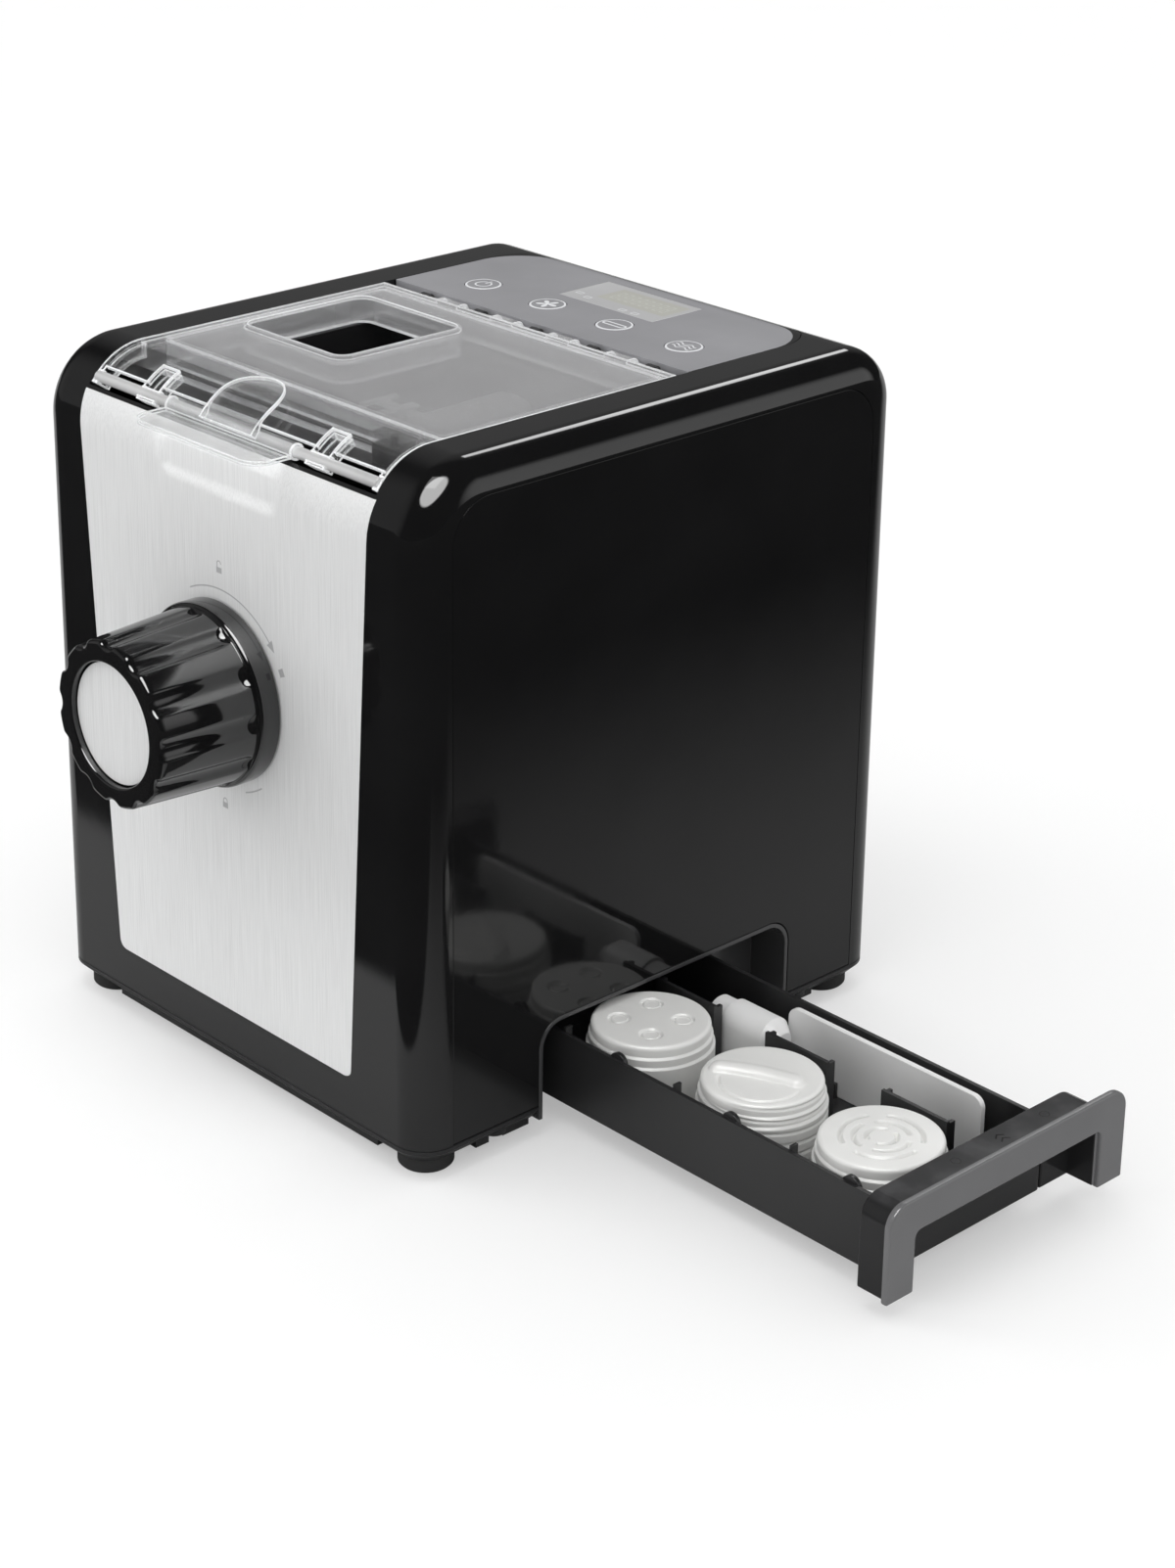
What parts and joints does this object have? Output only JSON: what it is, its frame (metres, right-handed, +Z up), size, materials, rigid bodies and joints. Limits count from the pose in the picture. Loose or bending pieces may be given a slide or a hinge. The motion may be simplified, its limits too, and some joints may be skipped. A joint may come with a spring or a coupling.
{
  "type": "pasta machine",
  "caption": "Countertop electric pasta machine with clear hinged lid, locking outlet knob and a slide-out drawer that holds spare shaping dies.",
  "frame": {"origin": "middle of the body's footprint, on the counter", "axes": "+Z up, -Y the steel front with the outlet, +X the side that the drawer slides out of"},
  "size_m": [0.4284, 0.327, 0.3015],
  "materials": {
    "case_black": "deep gloss black moulding",
    "panel_black": "gloss black side panel",
    "satin_black": "satin black moulding",
    "tray_black": "fine-textured black moulding",
    "steel": "vertical brushed sheet",
    "plate_steel": "plain sheet",
    "bright_steel": "polished rod",
    "clear": "clear moulded plastic",
    "panel_grey": "gloss grey moulding",
    "display": "dull display window",
    "display_body": "display module",
    "board": "circuit board",
    "rubber": "matt rubber",
    "white": "satin white moulding",
    "die_white": "satin white moulding",
    "tub": "translucent grey moulding",
    "auger_white": "food-safe white moulding",
    "gear_nylon": "natural nylon",
    "bronze": "sintered bronze",
    "motor_iron": "plated steel case",
    "copper_core": "laminations and windings",
    "screw": "plated screw"
  },
  "bodies": {
    "chassis": {"base_pan": "satin_black", "rubber_feet": "rubber", "housing_shell": "case_black", "side_panel_right": "panel_black", "side_panel_left": "panel_black", "rear_cover": "satin_black", "case_screws": "screw", "front_panel": "steel", "top_deck": "satin_black", "control_panel": "panel_grey", "display_window": "display", "display_module": "display_body", "control_board": "board", "key_switches": "satin_black", "mixing_chamber": "tub", "shaft_seal": "rubber", "outlet_barrel": "satin_black", "shaping_die": "die_white", "hinge_bracket": "satin_black", "hinge_pin": "bright_steel", "lid_switch": "satin_black", "idler_axle": "bright_steel", "gearcase": "satin_black", "back_plate": "plate_steel", "shaft_bushes": "bronze", "motor_case": "motor_iron", "motor_end_cap": "motor_iron", "motor_cradle": "satin_black", "power_board": "board", "cord_gland": "rubber", "drawer_bay": "satin_black", "drawer_surround": "satin_black"},
    "lid": {"lid": "clear", "latch_rod": "bright_steel"},
    "latch": {"lid_latch": "clear"},
    "knob": {"lock_knob": "case_black"},
    "cap": {"outlet_cap": "satin_black", "cap_face": "steel"},
    "drive": {"output_gear": "gear_nylon", "drive_shaft": "bright_steel", "kneading_auger": "auger_white"},
    "idler": {"idler_gear": "gear_nylon"},
    "rotor": {"motor_shaft": "bright_steel", "motor_pinion": "bronze", "armature": "copper_core", "cooling_fan": "gear_nylon"},
    "power_button": {"power_key": "panel_grey"},
    "program_button": {"program_key": "panel_grey"},
    "mix_button": {"mix_key": "panel_grey"},
    "extrude_button": {"extrude_key": "panel_grey"},
    "drawer": {"drawer_tray": "tray_black", "drawer_front": "satin_black", "ring_die": "die_white", "bar_die": "die_white", "hole_die": "die_white", "scraper": "white", "cleaning_tool": "white"}
  },
  "joints": [
    {"name": "drawer_slide", "type": "slide", "parent": "chassis", "child": "drawer", "axis": [1, 0, 0], "range_m": [-0.186, 0]},
    {"name": "lid_hinge", "type": "hinge", "parent": "chassis", "child": "lid", "pos_m": [0, 0.033, 0.294], "axis": [-1, 0, 0], "range_deg": [0, 85]},
    {"name": "latch_hinge", "type": "hinge", "parent": "lid", "child": "latch", "pos_m": [0, -0.12392, 0.28554], "axis": [-1, 0, 0], "range_deg": [0, 5]},
    {"name": "knob_turn", "type": "hinge", "parent": "chassis", "child": "knob", "pos_m": [0, -0.15, 0.177], "axis": [0, 1, 0], "range_deg": [0, 60]},
    {"name": "cap_pull", "type": "slide", "parent": "knob", "child": "cap", "axis": [0, -1, 0], "range_m": [0, 0.022]},
    {"name": "drive_spin", "type": "hinge", "parent": "chassis", "child": "drive", "pos_m": [0, 0.04, 0.177], "axis": [0, 1, 0], "continuous": true},
    {"name": "idler_spin", "type": "hinge", "parent": "chassis", "child": "idler", "pos_m": [0.00731, 0.055, 0.12501], "axis": [0, 1, 0], "continuous": true},
    {"name": "rotor_spin", "type": "hinge", "parent": "chassis", "child": "rotor", "pos_m": [0, 0, 0.08976], "axis": [0, 1, 0], "continuous": true},
    {"name": "power_press", "type": "slide", "parent": "chassis", "child": "power_button", "axis": [0, 0, -1], "range_m": [0, 0.0008], "stiffness_N_per_m": 500, "springref_m": -0.0004},
    {"name": "program_press", "type": "slide", "parent": "chassis", "child": "program_button", "axis": [0, 0, -1], "range_m": [0, 0.0008], "stiffness_N_per_m": 500, "springref_m": -0.0004},
    {"name": "mix_press", "type": "slide", "parent": "chassis", "child": "mix_button", "axis": [0, 0, -1], "range_m": [0, 0.0008], "stiffness_N_per_m": 500, "springref_m": -0.0004},
    {"name": "extrude_press", "type": "slide", "parent": "chassis", "child": "extrude_button", "axis": [0, 0, -1], "range_m": [0, 0.0008], "stiffness_N_per_m": 500, "springref_m": -0.0004}
  ],
  "couplings": [
    {"joint": "idler_spin", "follows": "drive_spin", "ratio": -4},
    {"joint": "rotor_spin", "follows": "drive_spin", "ratio": 20}
  ]
}
